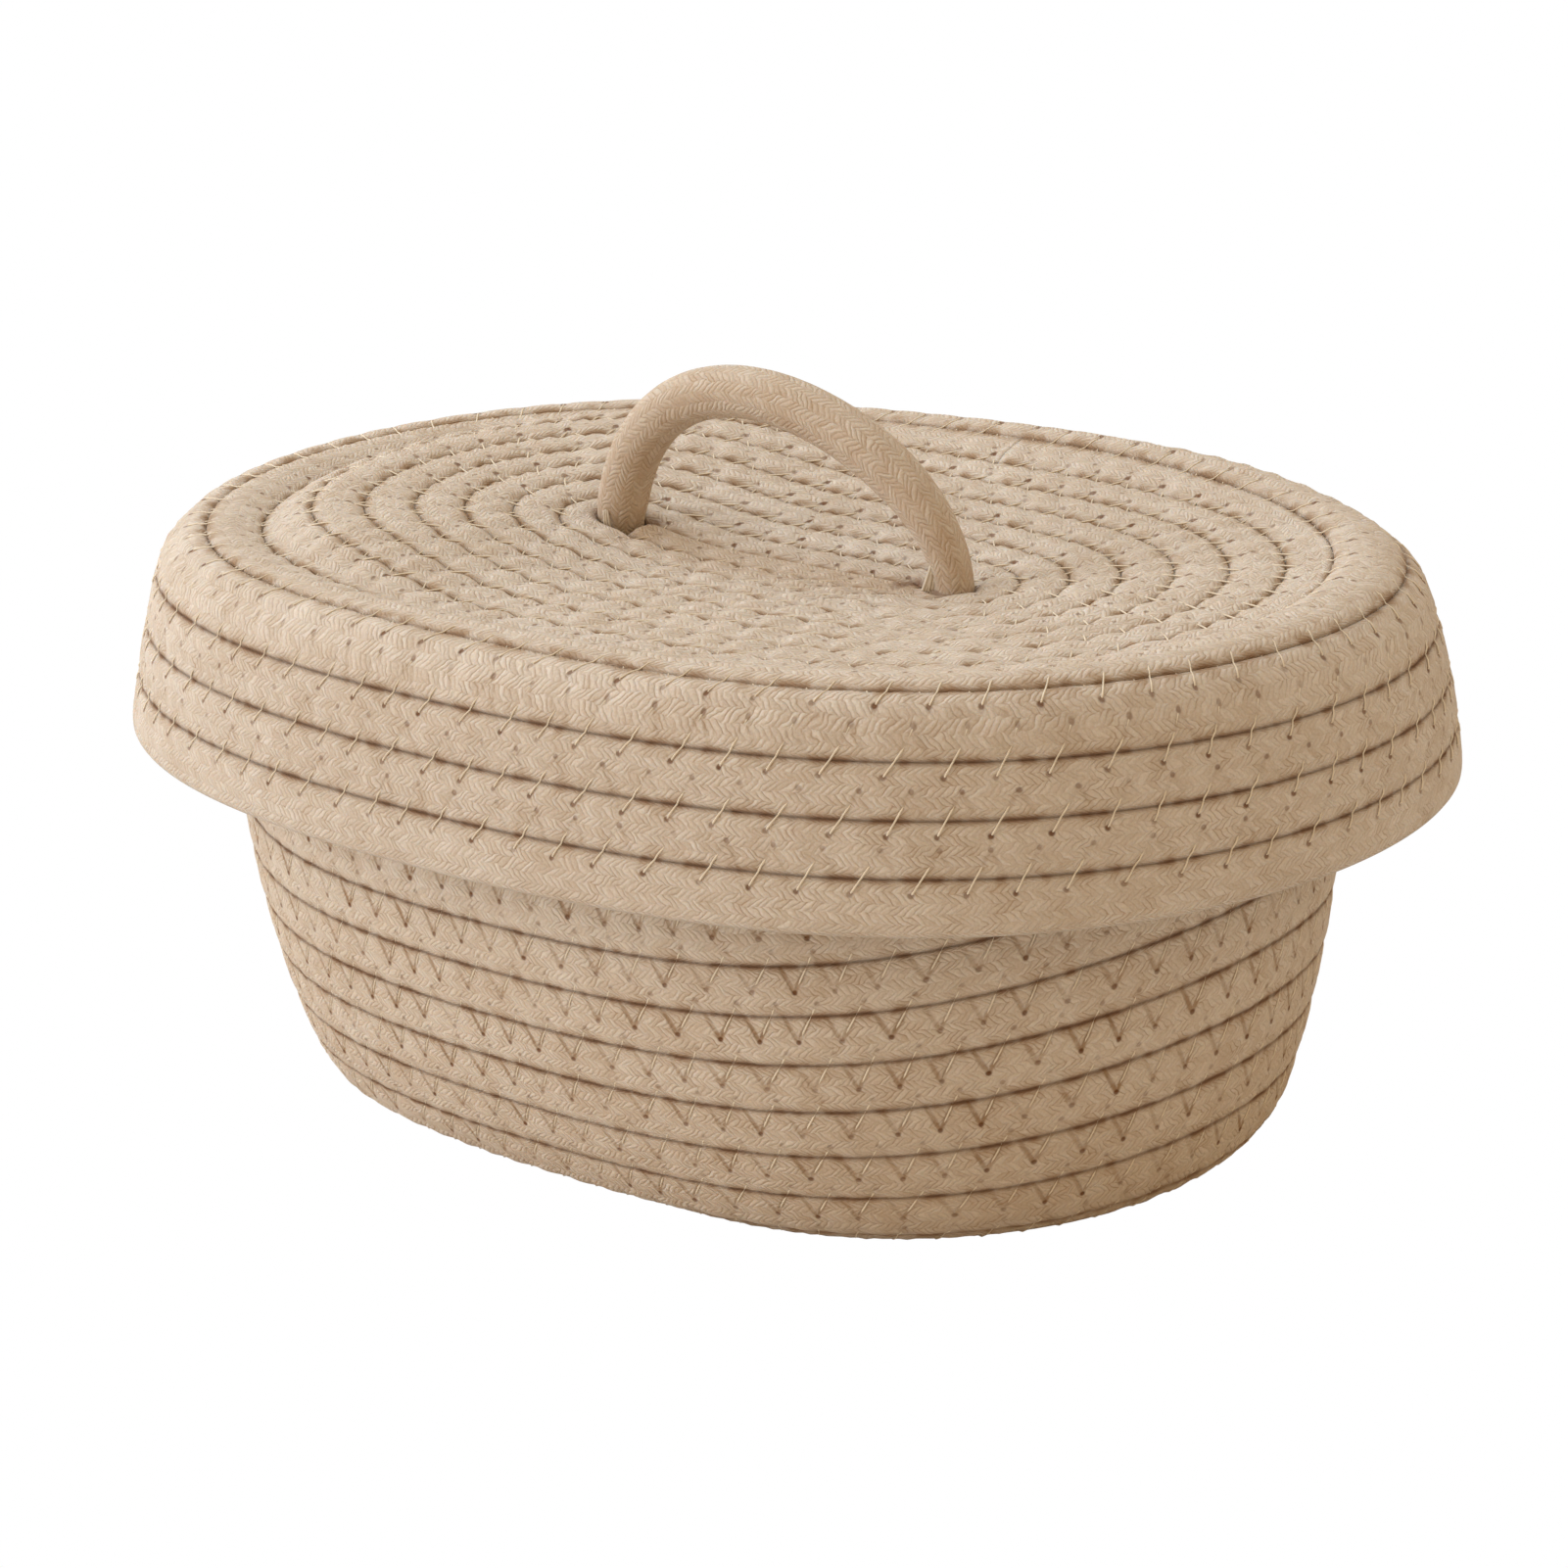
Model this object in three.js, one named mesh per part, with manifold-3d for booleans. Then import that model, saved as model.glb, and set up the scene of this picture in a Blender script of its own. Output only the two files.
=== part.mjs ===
// Oval storage basket sewn from braided cotton rope, with a lift-off lid and a rope handle.
// Millimetres, +Z up, long axis along X. The base stands on z = 0 with the origin under its middle.
//
// Two ropes wind outward round an oval core, counter-clockwise seen from above. Each lies flat at
// first and then bends down as the lid's skirt or up as the basket's wall, with a seam on both sides
// of every turn. The handle is a third rope, put down through the lid's core at both ends.
import * as THREE from 'three';
import { mergeVertices } from 'three/addons/utils/BufferGeometryUtils.js';
import Module from 'manifold-3d';

// Rope
const ropeThickness = 9.5; // across the sewn sheet
const seamGap = 0.6; // open width of a seam between two turns
const endGap = 0.3; // between two pieces that touch
const tipTurn = 0.12; // part of a turn over which a rope thins out to its last end
const tipWidth = 0.4; // what the tip keeps of the rope's width
const tipThickness = 0.7; // and of its thickness

// Width of a turn from seam to seam, which changes steadily between the places named
const corePitch = 8.3; // at the core, which is sewn tightest
const topPitch = 10; // near the edge of the lid's top
const skirtPitch = 9.1;
const basePitch = 9.9; // near the edge of the base
const wallPitch = 9.6;

// Plan: each turn is a little rounder than the one inside it
const roundness = 0.084; // bow of a turn's long sides, as a share of its distance from the core

// Basket
const basketCoreHalf = 30; // half the length of the straight run in the middle
const baseReach = 58; // from the core to where the base turns up
const floorFlat = 0.95; // cut off the underside of the turns that stand on the floor
const footInside = 2; // inside radius of the bend from the base into the wall
const wallLean = 20; // degrees from upright at the foot of the wall
const wallCurve = 65; // length of wall over which the lean dies out
const baseTurns = 6.7; // from the core to the foot
const footTurns = 0.8; // round the foot
const basketHalfTurns = 32; // in the whole rope

// Lid
const lidEndRoom = 3.9; // by which the lid's core is longer than the basket's at each end
const seatGap = 0.4; // between the lid's underside and the rim's highest point
const rimClearance = 0.5; // between the rim and the top of the skirt, which leans away below
const lidSag = 4; // degrees by which the top rises from its middle outward
const lipLength = 7; // length of the ring just inside the edge that turns up further
const lipRise = 20; // degrees that it turns up
const edgeInside = 3.25; // inside radius of the bend from the top into the skirt
const skirtLean = 18; // degrees from upright at the top of the skirt
const skirtLeanEnd = 7; // and where its curve ends
const skirtCurve = 36; // length of that curve
const topTurns = 7; // from the core to the lip
const edgeTurns = 2; // round the lip and the edge
const lidHalfTurns = 25; // in the whole rope

// Handle
const legRadius = 3.2; // of the rope where it is squeezed through the lid
const legClearance = 0.35; // round each leg in its passage
const pinchStart = 0.6; // height above the lid's top at which a leg starts to widen
const pinchLength = 5; // over which it widens to the full rope
const rightLegReach = 3.2; // from the core's right end to the right leg
const archRise = [50, 24.5]; // height of the arch's two shoulder points over its feet, left and right
const archLean = [7, -2]; // and how far they stand in from the feet
const tailBend = 6.5; // radius in which the rope turns under the lid
const tailPinch = 30; // degrees of that bend before the rope starts to widen
const tailLength = 24; // of each end that lies under the lid

// Facets
const handleSides = 8;
const endStep = 16; // degrees from one section to the next round an end of the oval
const sideStep = 4; // degrees that the long sides' single step takes
const stepsPerEnd = 11;
const bendSteps = 8; // of the handle's rope round each bend under the lid
const passageSides = 12;
const faceStart = 0.25; // share of a rope's width by which each side slopes to its face
const plumbHeight = 1000; // of the lines that find where the lid rests

const degrees = Math.PI / 180;
const square = 90; // degrees
const halfRope = ropeThickness / 2;
const lidCoreHalf = basketCoreHalf + lidEndRoom;
const sideAngle = square - sideStep / 2; // where the curve of an end meets the step along a side
const coreSeamY = corePitch / 4; // the seam between the two straight runs of a core
const smallestTurn = 0.2; // least inside radius of a rope, at the end of its core

/** Section through a sewn sheet from its core outward, made of arcs that meet without a corner. */
class Meridian {
  // Each arc is [length, slope at its start, slope at its end], with slopes in degrees and up positive.
  // Past the last arc the sheet runs on straight.
  constructor(arcs, height = 0) {
    this.arcs = [];
    this.end = { from: 0, reach: 0, height, slope: 0 };
    for (const [length, start, finish] of arcs) {
      const { from, reach } = this.end;
      const arc = { from, length, start: start * degrees, turn: (finish - start) * degrees, reach };
      arc.height = this.end.height;
      this.arcs.push(arc);
      this.end = { from: from + length, ...this.onArc(arc, length) };
    }
    this.arcs.push({ ...this.end, length: 1, start: this.end.slope, turn: 0 });
  }

  onArc(arc, along) {
    const half = (arc.turn * along) / arc.length / 2;
    const chord = half === 0 ? along : (along * Math.sin(half)) / half;
    return {
      reach: arc.reach + chord * Math.cos(arc.start + half),
      height: arc.height + chord * Math.sin(arc.start + half),
      slope: arc.start + 2 * half,
    };
  }

  at(distance) {
    const arc = this.arcs.findLast((each) => distance >= each.from) ?? this.arcs[0];
    return this.onArc(arc, distance - arc.from);
  }
}

/** How far the seams of a winding lie from the core. */
class Winding {
  // Widths are given as [turns from the core, width of a turn there], in order.
  constructor(widths) {
    this.widths = widths;
  }

  distance(turns) {
    if (turns < 0) return turns * this.widths[0][1];
    let total = 0;
    for (const [index, [from, width]] of this.widths.entries()) {
      const [to, next] = this.widths[index + 1] ?? [Infinity, width];
      const reached = Math.min(turns, to);
      const widthThere = THREE.MathUtils.mapLinear(reached, from, to, width, next);
      total += ((width + widthThere) / 2) * (reached - from);
      if (turns <= to) break;
    }
    return total;
  }
}

/** A point whose plan lies on an oval round the core, where the oval faces the given angle. */
function ovalPoint(coreHalf, angle, reach, height) {
  const bow = roundness * Math.max(reach, 0);
  const halfLength = coreHalf + bow;
  const c = Math.cos(angle * degrees);
  const s = Math.sin(angle * degrees);
  const size = Math.hypot(halfLength * c, bow * s);
  const x = (halfLength * halfLength * c) / size + (reach - bow) * c;
  const y = (bow * bow * s) / size + (reach - bow) * s;
  return new THREE.Vector3(x, y, height);
}

/** The six points of a sewn rope's section: one at each seam and two on each face of the sheet. */
function ropeSection(sheet, angle, tip) {
  const turns = angle / 360;
  const seam = sheet.winding.distance(turns) + seamGap / 2;
  const inner = angle > -sideAngle ? Math.max(seam, smallestTurn) : seam;
  const outer = sheet.winding.distance(turns + 1) - seamGap / 2;
  const width = (outer - inner) * THREE.MathUtils.lerp(1, tipWidth, tip);
  const half = halfRope * THREE.MathUtils.lerp(1, tipThickness, tip);
  const point = (share, offset) => {
    const { reach, height, slope } = sheet.meridian.at(inner + share * width);
    const level = Math.max(height + offset * Math.cos(slope), sheet.floor);
    return ovalPoint(sheet.coreHalf, angle, reach - offset * Math.sin(slope), level);
  };
  const outline = [[0, 0], [faceStart, -half], [1 - faceStart, -half], [1, 0], [1 - faceStart, half], [faceStart, half]];
  return outline.map(([share, offset]) => point(share, offset));
}

/** The plan angles of a rope's sections: a step along each long side and eleven round each end. */
function sectionAngles(halfTurns) {
  const angles = [-sideAngle - sideStep];
  for (let half = 0; half < halfTurns; half += 1) {
    for (let step = 0; step <= stepsPerEnd; step += 1) angles.push(180 * half - sideAngle + endStep * step);
  }
  angles.push(180 * halfTurns - sideAngle);
  return angles;
}

/** Sections of a whole rope in two runs, which meet square and endGap apart where the sheet bends. */
function splitRope(sheet, halfTurns, splitTurn) {
  const angles = sectionAngles(halfTurns);
  const last = angles.at(-1);
  const split = square + 360 * splitTurn;
  const tipOf = (angle) => THREE.MathUtils.smoothstep(angle, last - 360 * tipTurn, last);
  const sectionAt = (angle) => ropeSection(sheet, angle, tipOf(angle));
  const shifted = (x) => sectionAt(split).map((point) => point.setX(point.x + x));
  const flat = angles.filter((angle) => angle < split).map(sectionAt);
  const upright = angles.filter((angle) => angle > split).map(sectionAt);
  return { flat: [...flat, shifted(endGap / 2)], upright: [shifted(-endGap / 2), ...upright] };
}

/** A closed tube through sections that have the same number of points, with a flat face at each end. */
function tubeGeometry(sections) {
  const sides = sections[0].length;
  const faces = [];
  const corner = (section, side) => section * sides + (side % sides);
  for (let section = 0; section + 1 < sections.length; section += 1) {
    for (let side = 0; side < sides; side += 1) {
      const [a, b] = [corner(section, side), corner(section, side + 1)];
      const [c, d] = [corner(section + 1, side), corner(section + 1, side + 1)];
      faces.push(a, c, b, b, c, d);
    }
  }
  const last = sections.length - 1;
  for (let side = 1; side + 1 < sides; side += 1) {
    faces.push(corner(0, 0), corner(0, side), corner(0, side + 1));
    faces.push(corner(last, 0), corner(last, side + 1), corner(last, side));
  }
  const geometry = new THREE.BufferGeometry().setFromPoints(sections.flat());
  geometry.setIndex(faces);
  geometry.computeVertexNormals();
  return geometry;
}

/** Points along the lengthwise edges of a tube, in one list for each step. */
function edgePoints(sections) {
  const shares = [0, 0.25, 0.5, 0.75];
  return sections.map((section, i) => {
    const next = sections[i + 1] ?? section;
    return shares.flatMap((share) => section.map((point, side) => point.clone().lerp(next[side], share)));
  });
}

/** Least distance between points of a tube that lie half a turn or more apart along it. */
function leastGap(sections) {
  const apart = stepsPerEnd + 1;
  const steps = edgePoints(sections);
  let least = Infinity;
  for (let step = apart; step < steps.length; step += 1) {
    for (const other of sections.slice(0, step - apart + 1).flat()) {
      for (const point of steps[step]) least = Math.min(least, point.distanceToSquared(other));
    }
  }
  return Math.sqrt(least);
}

const wasm = await Module();
wasm.setup();

/** A closed geometry as a solid that can be cut. */
function solidFrom(geometry) {
  const bare = geometry.clone();
  bare.deleteAttribute('normal');
  bare.deleteAttribute('uv');
  const merged = mergeVertices(bare);
  const vertProperties = new Float32Array(merged.attributes.position.array);
  const triVerts = new Uint32Array(merged.index.array);
  return new wasm.Manifold(new wasm.Mesh({ numProp: 3, vertProperties, triVerts }));
}

function geometryFrom(solid) {
  const { vertProperties, triVerts } = solid.getMesh();
  const geometry = new THREE.BufferGeometry();
  geometry.setAttribute('position', new THREE.BufferAttribute(vertProperties, 3));
  geometry.setIndex(new THREE.BufferAttribute(triVerts, 1));
  geometry.computeVertexNormals();
  return geometry;
}

/** Cuts an upright round passage through a geometry at each of the given places. */
function withPassages(geometry, places) {
  const radius = (legRadius + legClearance) / Math.cos(Math.PI / passageSides);
  let solid = solidFrom(geometry);
  for (const [x, y] of places) {
    const cutter = new THREE.CylinderGeometry(radius, radius, 4 * ropeThickness, passageSides);
    cutter.rotateX(Math.PI / 2);
    cutter.translate(x, y, 0);
    solid = solid.subtract(solidFrom(cutter));
  }
  return geometryFrom(solid);
}

function mesh(name, geometry, color) {
  const material = new THREE.MeshStandardMaterial({ color, roughness: 0.95, metalness: 0 });
  const piece = new THREE.Mesh(geometry, material);
  piece.name = name;
  return piece;
}

function coil(name, sections, color) {
  console.log(`${name}: least gap between its turns ${leastGap(sections).toFixed(2)} mm`);
  return mesh(name, tubeGeometry(sections), color);
}

// The basket's sheet: flat on the floor, round the foot, then up the wall until it is upright
const footRadius = footInside + halfRope;
const footSlope = square - wallLean;
const footLength = footRadius * footSlope * degrees;
const basketArcs = [[baseReach, 0, 0], [footLength, 0, footSlope], [wallCurve, footSlope, square]];
const basketSheet = {
  coreHalf: basketCoreHalf,
  winding: new Winding([[0, corePitch], [baseTurns, basePitch], [baseTurns + footTurns, wallPitch]]),
  meridian: new Meridian(basketArcs, halfRope - floorFlat),
  floor: 0,
};
const rimReach = basketSheet.meridian.end.reach;

// The lid's sheet: the sagging top, a lip just inside its edge, the edge and the skirt. Its top is as
// wide as puts the skirt outside the rim.
const edgeRadius = edgeInside + halfRope;
const lipSlope = lidSag + lipRise;
const skirtSlope = skirtLean - square;
const edgeLength = edgeRadius * (lipSlope - skirtSlope) * degrees;
const edgeArcs = [[lipLength, lidSag, lipSlope], [edgeLength, lipSlope, skirtSlope]];
const skirtTopReach = rimReach + halfRope + rimClearance + halfRope;
const topLength = (skirtTopReach - new Meridian(edgeArcs).end.reach) / Math.cos(lidSag * degrees);
const skirtArc = [skirtCurve, skirtSlope, skirtLeanEnd - square];
const lidSheet = {
  coreHalf: lidCoreHalf,
  winding: new Winding([[0, corePitch], [topTurns, topPitch], [topTurns + edgeTurns, skirtPitch]]),
  meridian: new Meridian([[topLength, lidSag, lidSag], ...edgeArcs, skirtArc]),
  floor: -Infinity,
};

/** Height that sets some pieces seatGap above another, from plumb lines through the edges of both. */
function restingHeight(lower, uppers) {
  const plumb = new THREE.Raycaster();
  const heightAt = (piece, { x, y }, side) => {
    plumb.set(new THREE.Vector3(x, y, side * plumbHeight), new THREE.Vector3(0, 0, -side));
    return plumb.intersectObject(piece)[0]?.point.z;
  };
  let height = -Infinity;
  for (const upper of uppers) {
    for (const point of edgePoints(lower.sections).flat()) {
      height = Math.max(height, point.z - (heightAt(upper.piece, point, -1) ?? Infinity));
    }
    for (const point of edgePoints(upper.sections).flat()) {
      height = Math.max(height, (heightAt(lower.piece, point, 1) ?? -Infinity) - point.z);
    }
  }
  return height + seatGap;
}

/** Eight points round the handle's rope, whose path lies in one upright plane. */
function handleSection([x, z], heading, radius) {
  const points = [];
  for (let side = 0; side < handleSides; side += 1) {
    const around = (2 * Math.PI * (side + 0.5)) / handleSides;
    const rise = radius * Math.cos(around);
    const point = new THREE.Vector3(x - rise * Math.sin(heading), coreSeamY, z + rise * Math.cos(heading));
    points.push(point.setY(point.y + radius * Math.sin(around)));
  }
  return points;
}

const legX = [-lidCoreHalf - corePitch / 2, lidCoreHalf + rightLegReach];
const tailZ = -halfRope - endGap - halfRope;
const footZ = halfRope + endGap;

/** Radius of the handle's rope as it widens from a squeezed leg at 0 to the full rope at 1. */
function widening(amount) {
  return THREE.MathUtils.lerp(legRadius, halfRope, THREE.MathUtils.smoothstep(amount, 0, 1));
}

/**
 * One end of the handle, from the tail's tip to the top of its passage. Inward is the way along X to
 * the middle, 1 or -1, and headings are those of someone who follows the rope from left to right.
 */
function handleEnd(x, inward) {
  const heading = (bend) => (180 - inward * bend) * degrees;
  const sections = [
    handleSection([x + inward * (tailBend + tailLength), tailZ], heading(0), halfRope),
    handleSection([x + inward * (tailBend + tailLength / 2), tailZ], heading(0), halfRope),
  ];
  for (let step = 0; step <= bendSteps; step += 1) {
    const bend = (square * step) / bendSteps;
    const place = [
      x + inward * tailBend * (1 - Math.sin(bend * degrees)),
      tailZ + tailBend * (1 - Math.cos(bend * degrees)),
    ];
    const amount = (square - tailPinch - bend) / (square - tailPinch);
    sections.push(handleSection(place, heading(bend), widening(amount)));
  }
  return [...sections, handleSection([x, footZ], heading(square), legRadius)];
}

/** The handle's rope: a tail, a leg, the lopsided arch, the other leg and the other tail. */
function handleSections() {
  const [left, right] = legX;
  const arch = new THREE.CubicBezierCurve(
    new THREE.Vector2(left, footZ),
    new THREE.Vector2(left + archLean[0], footZ + archRise[0]),
    new THREE.Vector2(right - archLean[1], footZ + archRise[1]),
    new THREE.Vector2(right, footZ),
  );
  const length = arch.getLength();
  const sections = handleEnd(left, 1);
  const steps = Math.round(length / (ropeThickness / 2));
  for (let step = 1; step < steps; step += 1) {
    const { x, y } = arch.getPointAt(step / steps);
    const tangent = arch.getTangentAt(step / steps);
    const radius = widening((y - footZ - pinchStart) / pinchLength);
    sections.push(handleSection([x, y], Math.atan2(tangent.y, tangent.x), radius));
  }
  const reversed = handleEnd(right, -1).reverse();
  return [...sections, ...reversed];
}

const basketRope = splitRope(basketSheet, basketHalfTurns, Math.round(baseTurns) - 1);
const lidRope = splitRope(lidSheet, lidHalfTurns, Math.round(topTurns + edgeTurns / 2) - 1);

const basket = new THREE.Group();
const basketBase = coil('basket_base_coil', basketRope.flat, '#b59b81');
const basketWall = coil('basket_wall_coil', basketRope.upright, '#b59b81');
basket.add(basketBase, basketWall);

const lid = new THREE.Group();
const lidTop = coil('lid_top_coil', lidRope.flat, '#c6b29b');
lidTop.geometry = withPassages(lidTop.geometry, legX.map((x) => [x, coreSeamY]));
const lidSkirt = coil('lid_skirt_coil', lidRope.upright, '#c6b29b');
const handle = mesh('handle_rope', tubeGeometry(handleSections()), '#bfa689');
lid.add(lidTop, lidSkirt, handle);
lid.position.z = restingHeight({ piece: basketWall, sections: basketRope.upright }, [
  { piece: lidTop, sections: lidRope.flat },
  { piece: lidSkirt, sections: lidRope.upright },
]);

const object = new THREE.Group();
object.add(basket, lid);
const middle = new THREE.Box3().setFromObject(object).getCenter(new THREE.Vector3());
object.position.set(-middle.x, -middle.y, 0);

export default object;
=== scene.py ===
"""Dresses the rope storage basket: braided ropes, zigzag seams, tacks, floor, light and camera.

Sizes in the classes are in millimetres and angles in degrees. Both ropes wind outward round an oval
core. A place on a rope is given by the plan angle of its section, counted on from turn to turn, by
its share of the way across the sewn sheet (0 at the inner seam, 1 at the outer) and by its offset
from the middle of the sheet.
"""

import logging
import math
from collections.abc import Callable
from dataclasses import dataclass
from enum import Enum

import bpy
import numpy as np
from bpy.types import Material, Object
from mathutils import Matrix, Vector


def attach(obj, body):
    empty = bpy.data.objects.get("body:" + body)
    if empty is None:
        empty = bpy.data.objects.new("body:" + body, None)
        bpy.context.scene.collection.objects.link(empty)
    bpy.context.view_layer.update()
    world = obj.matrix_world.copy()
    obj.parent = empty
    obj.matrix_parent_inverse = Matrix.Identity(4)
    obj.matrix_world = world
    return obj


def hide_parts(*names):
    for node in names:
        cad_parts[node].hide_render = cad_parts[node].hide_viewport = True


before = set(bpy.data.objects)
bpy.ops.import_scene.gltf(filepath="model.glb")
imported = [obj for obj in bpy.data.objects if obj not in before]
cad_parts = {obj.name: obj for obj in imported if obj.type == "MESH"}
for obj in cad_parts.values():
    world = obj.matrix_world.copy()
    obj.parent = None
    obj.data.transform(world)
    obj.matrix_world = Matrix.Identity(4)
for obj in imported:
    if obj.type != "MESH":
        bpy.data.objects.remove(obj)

Array = np.ndarray
Pair = tuple[float, float]
Triple = tuple[float, float, float]

LOG = logging.getLogger("rope_basket")
MM = 0.001
ROPE_THICKNESS = 9.5
HALF_ROPE = ROPE_THICKNESS / 2
ROUNDNESS = 0.084
SIDE_HALF_ANGLE = 2.0
SMALLEST_TURN = 0.2
TINY = 1e-9
SEAM_PRESS = 0.004
SMALLEST_END = 0.02
OLD_HOLE = -0.5
NEW_HOLE = 0.27
LEG_SPAN = NEW_HOLE - OLD_HOLE
LEG_LEAN = 0.84
LEG_FADE = 0.06
NO_SEAM = -9.0
LEG_POINTS = np.array([0.0, 0.05, 0.3, 0.5, 0.65, 0.8, 0.95, 1.0])
STITCH_WAVES = ((0.09, 0.171, 0.0), (0.06, 0.067, 2.0))
TIP_ANGLE = 43.2
TIP_NARROWING = 0.6
TIP_THINNING = 0.3
RIM_FADE = 0.4
# How far a spot of painted shadow fades outside and inside its radius.
FOOT_SHADOW_EDGE = (1.5, 0.3)
BASKET_CUT = 2250.0
LID_CUT = 2610.0
PLAN_SHIFT = (-0.397, 0.431, 0.0)
LID_HEIGHT = 95.541
LID_PLACE = np.array([PLAN_SHIFT[0], PLAN_SHIFT[1], LID_HEIGHT])
WHITE = (1.0, 1.0, 1.0, 1.0)


class Face(Enum):
    """The two faces of a sewn sheet, by the sign of their offset."""

    UPPER = 1.0
    LOWER = -1.0


def linear(red: float, green: float, blue: float) -> tuple[float, float, float, float]:
    """Turns a colour on a screen's scale of 0 to 255 into the renderer's linear one, fully opaque."""
    parts = [value / 255 for value in (red, green, blue)]
    return (*(p / 12.92 if p <= 0.04045 else ((p + 0.055) / 1.055) ** 2.4 for p in parts), 1.0)


def smooth(value: Array, start: float, finish: float) -> Array:
    """Rises smoothly from 0 at start to 1 at finish: 3t squared minus 2t cubed of the clamped share t."""
    share = np.clip((value - start) / (finish - start), 0.0, 1.0)
    return share * share * (3 - 2 * share)


def rounded(distance: Array, length: float) -> Array:
    """Scale of a rope near its cut end: a quarter circle from nearly nothing to 1 over that length."""
    share = np.clip(distance / length, 0, 1)
    return np.sqrt(np.clip(1 - (1 - share) ** 2, SMALLEST_END, 1))


@dataclass(frozen=True)
class Meridian:
    """Section through a sewn sheet from its core outward, made of arcs that meet without a corner."""

    arcs: tuple[Triple, ...]
    height: float = 0.0

    def at(self, distance: Array) -> tuple[Array, Array, Array]:
        """Follows the arcs: a chord of length L sin(h)/h, aimed half way through the turn h.

        Args:
            distance: Distances from the core along the sheet.

        Returns:
            Reach from the core, height, and slope in radians, each of the same shape.
        """
        reach, height, slope = (np.zeros_like(distance) for _ in range(3))
        base_reach, base_height, start = 0.0, self.height, 0.0
        closing = (math.inf, self.arcs[-1][2], self.arcs[-1][2])
        for index, (length, first, last) in enumerate([*self.arcs, closing]):
            rate = math.radians(last - first) / length
            along = distance - start
            here = along >= 0 if index else np.full(distance.shape, True)
            half = rate * along / 2
            chord = along * np.sinc(half / np.pi)
            aim = math.radians(first) + half
            reach = np.where(here, base_reach + chord * np.cos(aim), reach)
            height = np.where(here, base_height + chord * np.sin(aim), height)
            slope = np.where(here, math.radians(first) + 2 * half, slope)
            if math.isfinite(length):
                turn = rate * length / 2
                chord = length * np.sinc(turn / np.pi)
                base_reach += chord * math.cos(math.radians(first) + turn)
                base_height += chord * math.sin(math.radians(first) + turn)
                start += length
        return reach, height, slope


@dataclass(frozen=True)
class Winding:
    """How far the seams lie from the core, for widths that change steadily between named turns."""

    widths: tuple[Pair, ...]

    def distance(self, turns: Array) -> Array:
        """Adds up the width of a turn, which is linear between the named ones, from 0 to turns.

        Args:
            turns: Numbers of turns from the core, where a negative number runs back from it.

        Returns:
            Distances from the core along the sheet.
        """
        at, width = np.array(self.widths, float).T
        before = np.concatenate([[0.0], np.cumsum(np.diff(at) * (width[1:] + width[:-1]) / 2)])
        index = np.clip(np.searchsorted(at, turns, side="right") - 1, 0, len(at) - 1)
        there = np.interp(turns, at, width)
        return before[index] + (width[index] + there) / 2 * (turns - at[index])


@dataclass(frozen=True)
class Saddle:
    """How the wall sags: it climbs at the oval's ends and dips along its sides, most half way up."""

    climb: float
    widest: float
    rim: float
    rim_dip: float
    foot: float
    curl_height: float = 11.0
    curl_reach: Pair = (52.0, 64.0)

    def lift(self, angle: Array, height: Array, reach: Array) -> Array:
        """Height times climb up to the widest place, then back to a rim that only dips at the sides.

        The foot's outer turn also curls up from the floor, by a bell curve of its height.

        Args:
            angle: Plan angles in degrees.
            height: Heights over the floor.
            reach: Distances from the core.

        Returns:
            The change of height.
        """
        swing = np.cos(2 * np.radians(angle))
        fade = smooth(height, self.widest, self.rim)
        rise = self.climb * np.clip(height, 0, self.widest) / self.widest * (1 - fade)
        curl = self.foot * np.exp(-((height / self.curl_height) ** 2)) * smooth(reach, *self.curl_reach)
        return rise * swing - self.rim_dip / 2 * fade * (1 - swing) + curl


@dataclass(frozen=True)
class Bulge:
    """How one end of the lid stands up: by its height past a place on X, less and less toward the lip."""

    height: float
    along: Pair
    out: Pair

    def lift(self, points: Array, reach: Array) -> Array:
        """The height times a smooth rise toward minus X and a smooth fall with the reach."""
        fall = 1 - smooth(reach, *self.out)
        return self.height * smooth(-points[..., 0], *self.along) * fall


@dataclass(frozen=True)
class Nudge:
    """A place where the soft sheet lies aside of its formula, by a shift that fades round its middle."""

    middle: Triple
    radii: Triple
    shift: Triple

    def moved(self, points: Array) -> Array:
        """Adds the shift times e to minus the squared distance, which is counted in radii."""
        away = (points - np.array(self.middle)) / np.array(self.radii)
        return points + np.exp(-(away**2).sum(-1, keepdims=True)) * np.array(self.shift)


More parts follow.
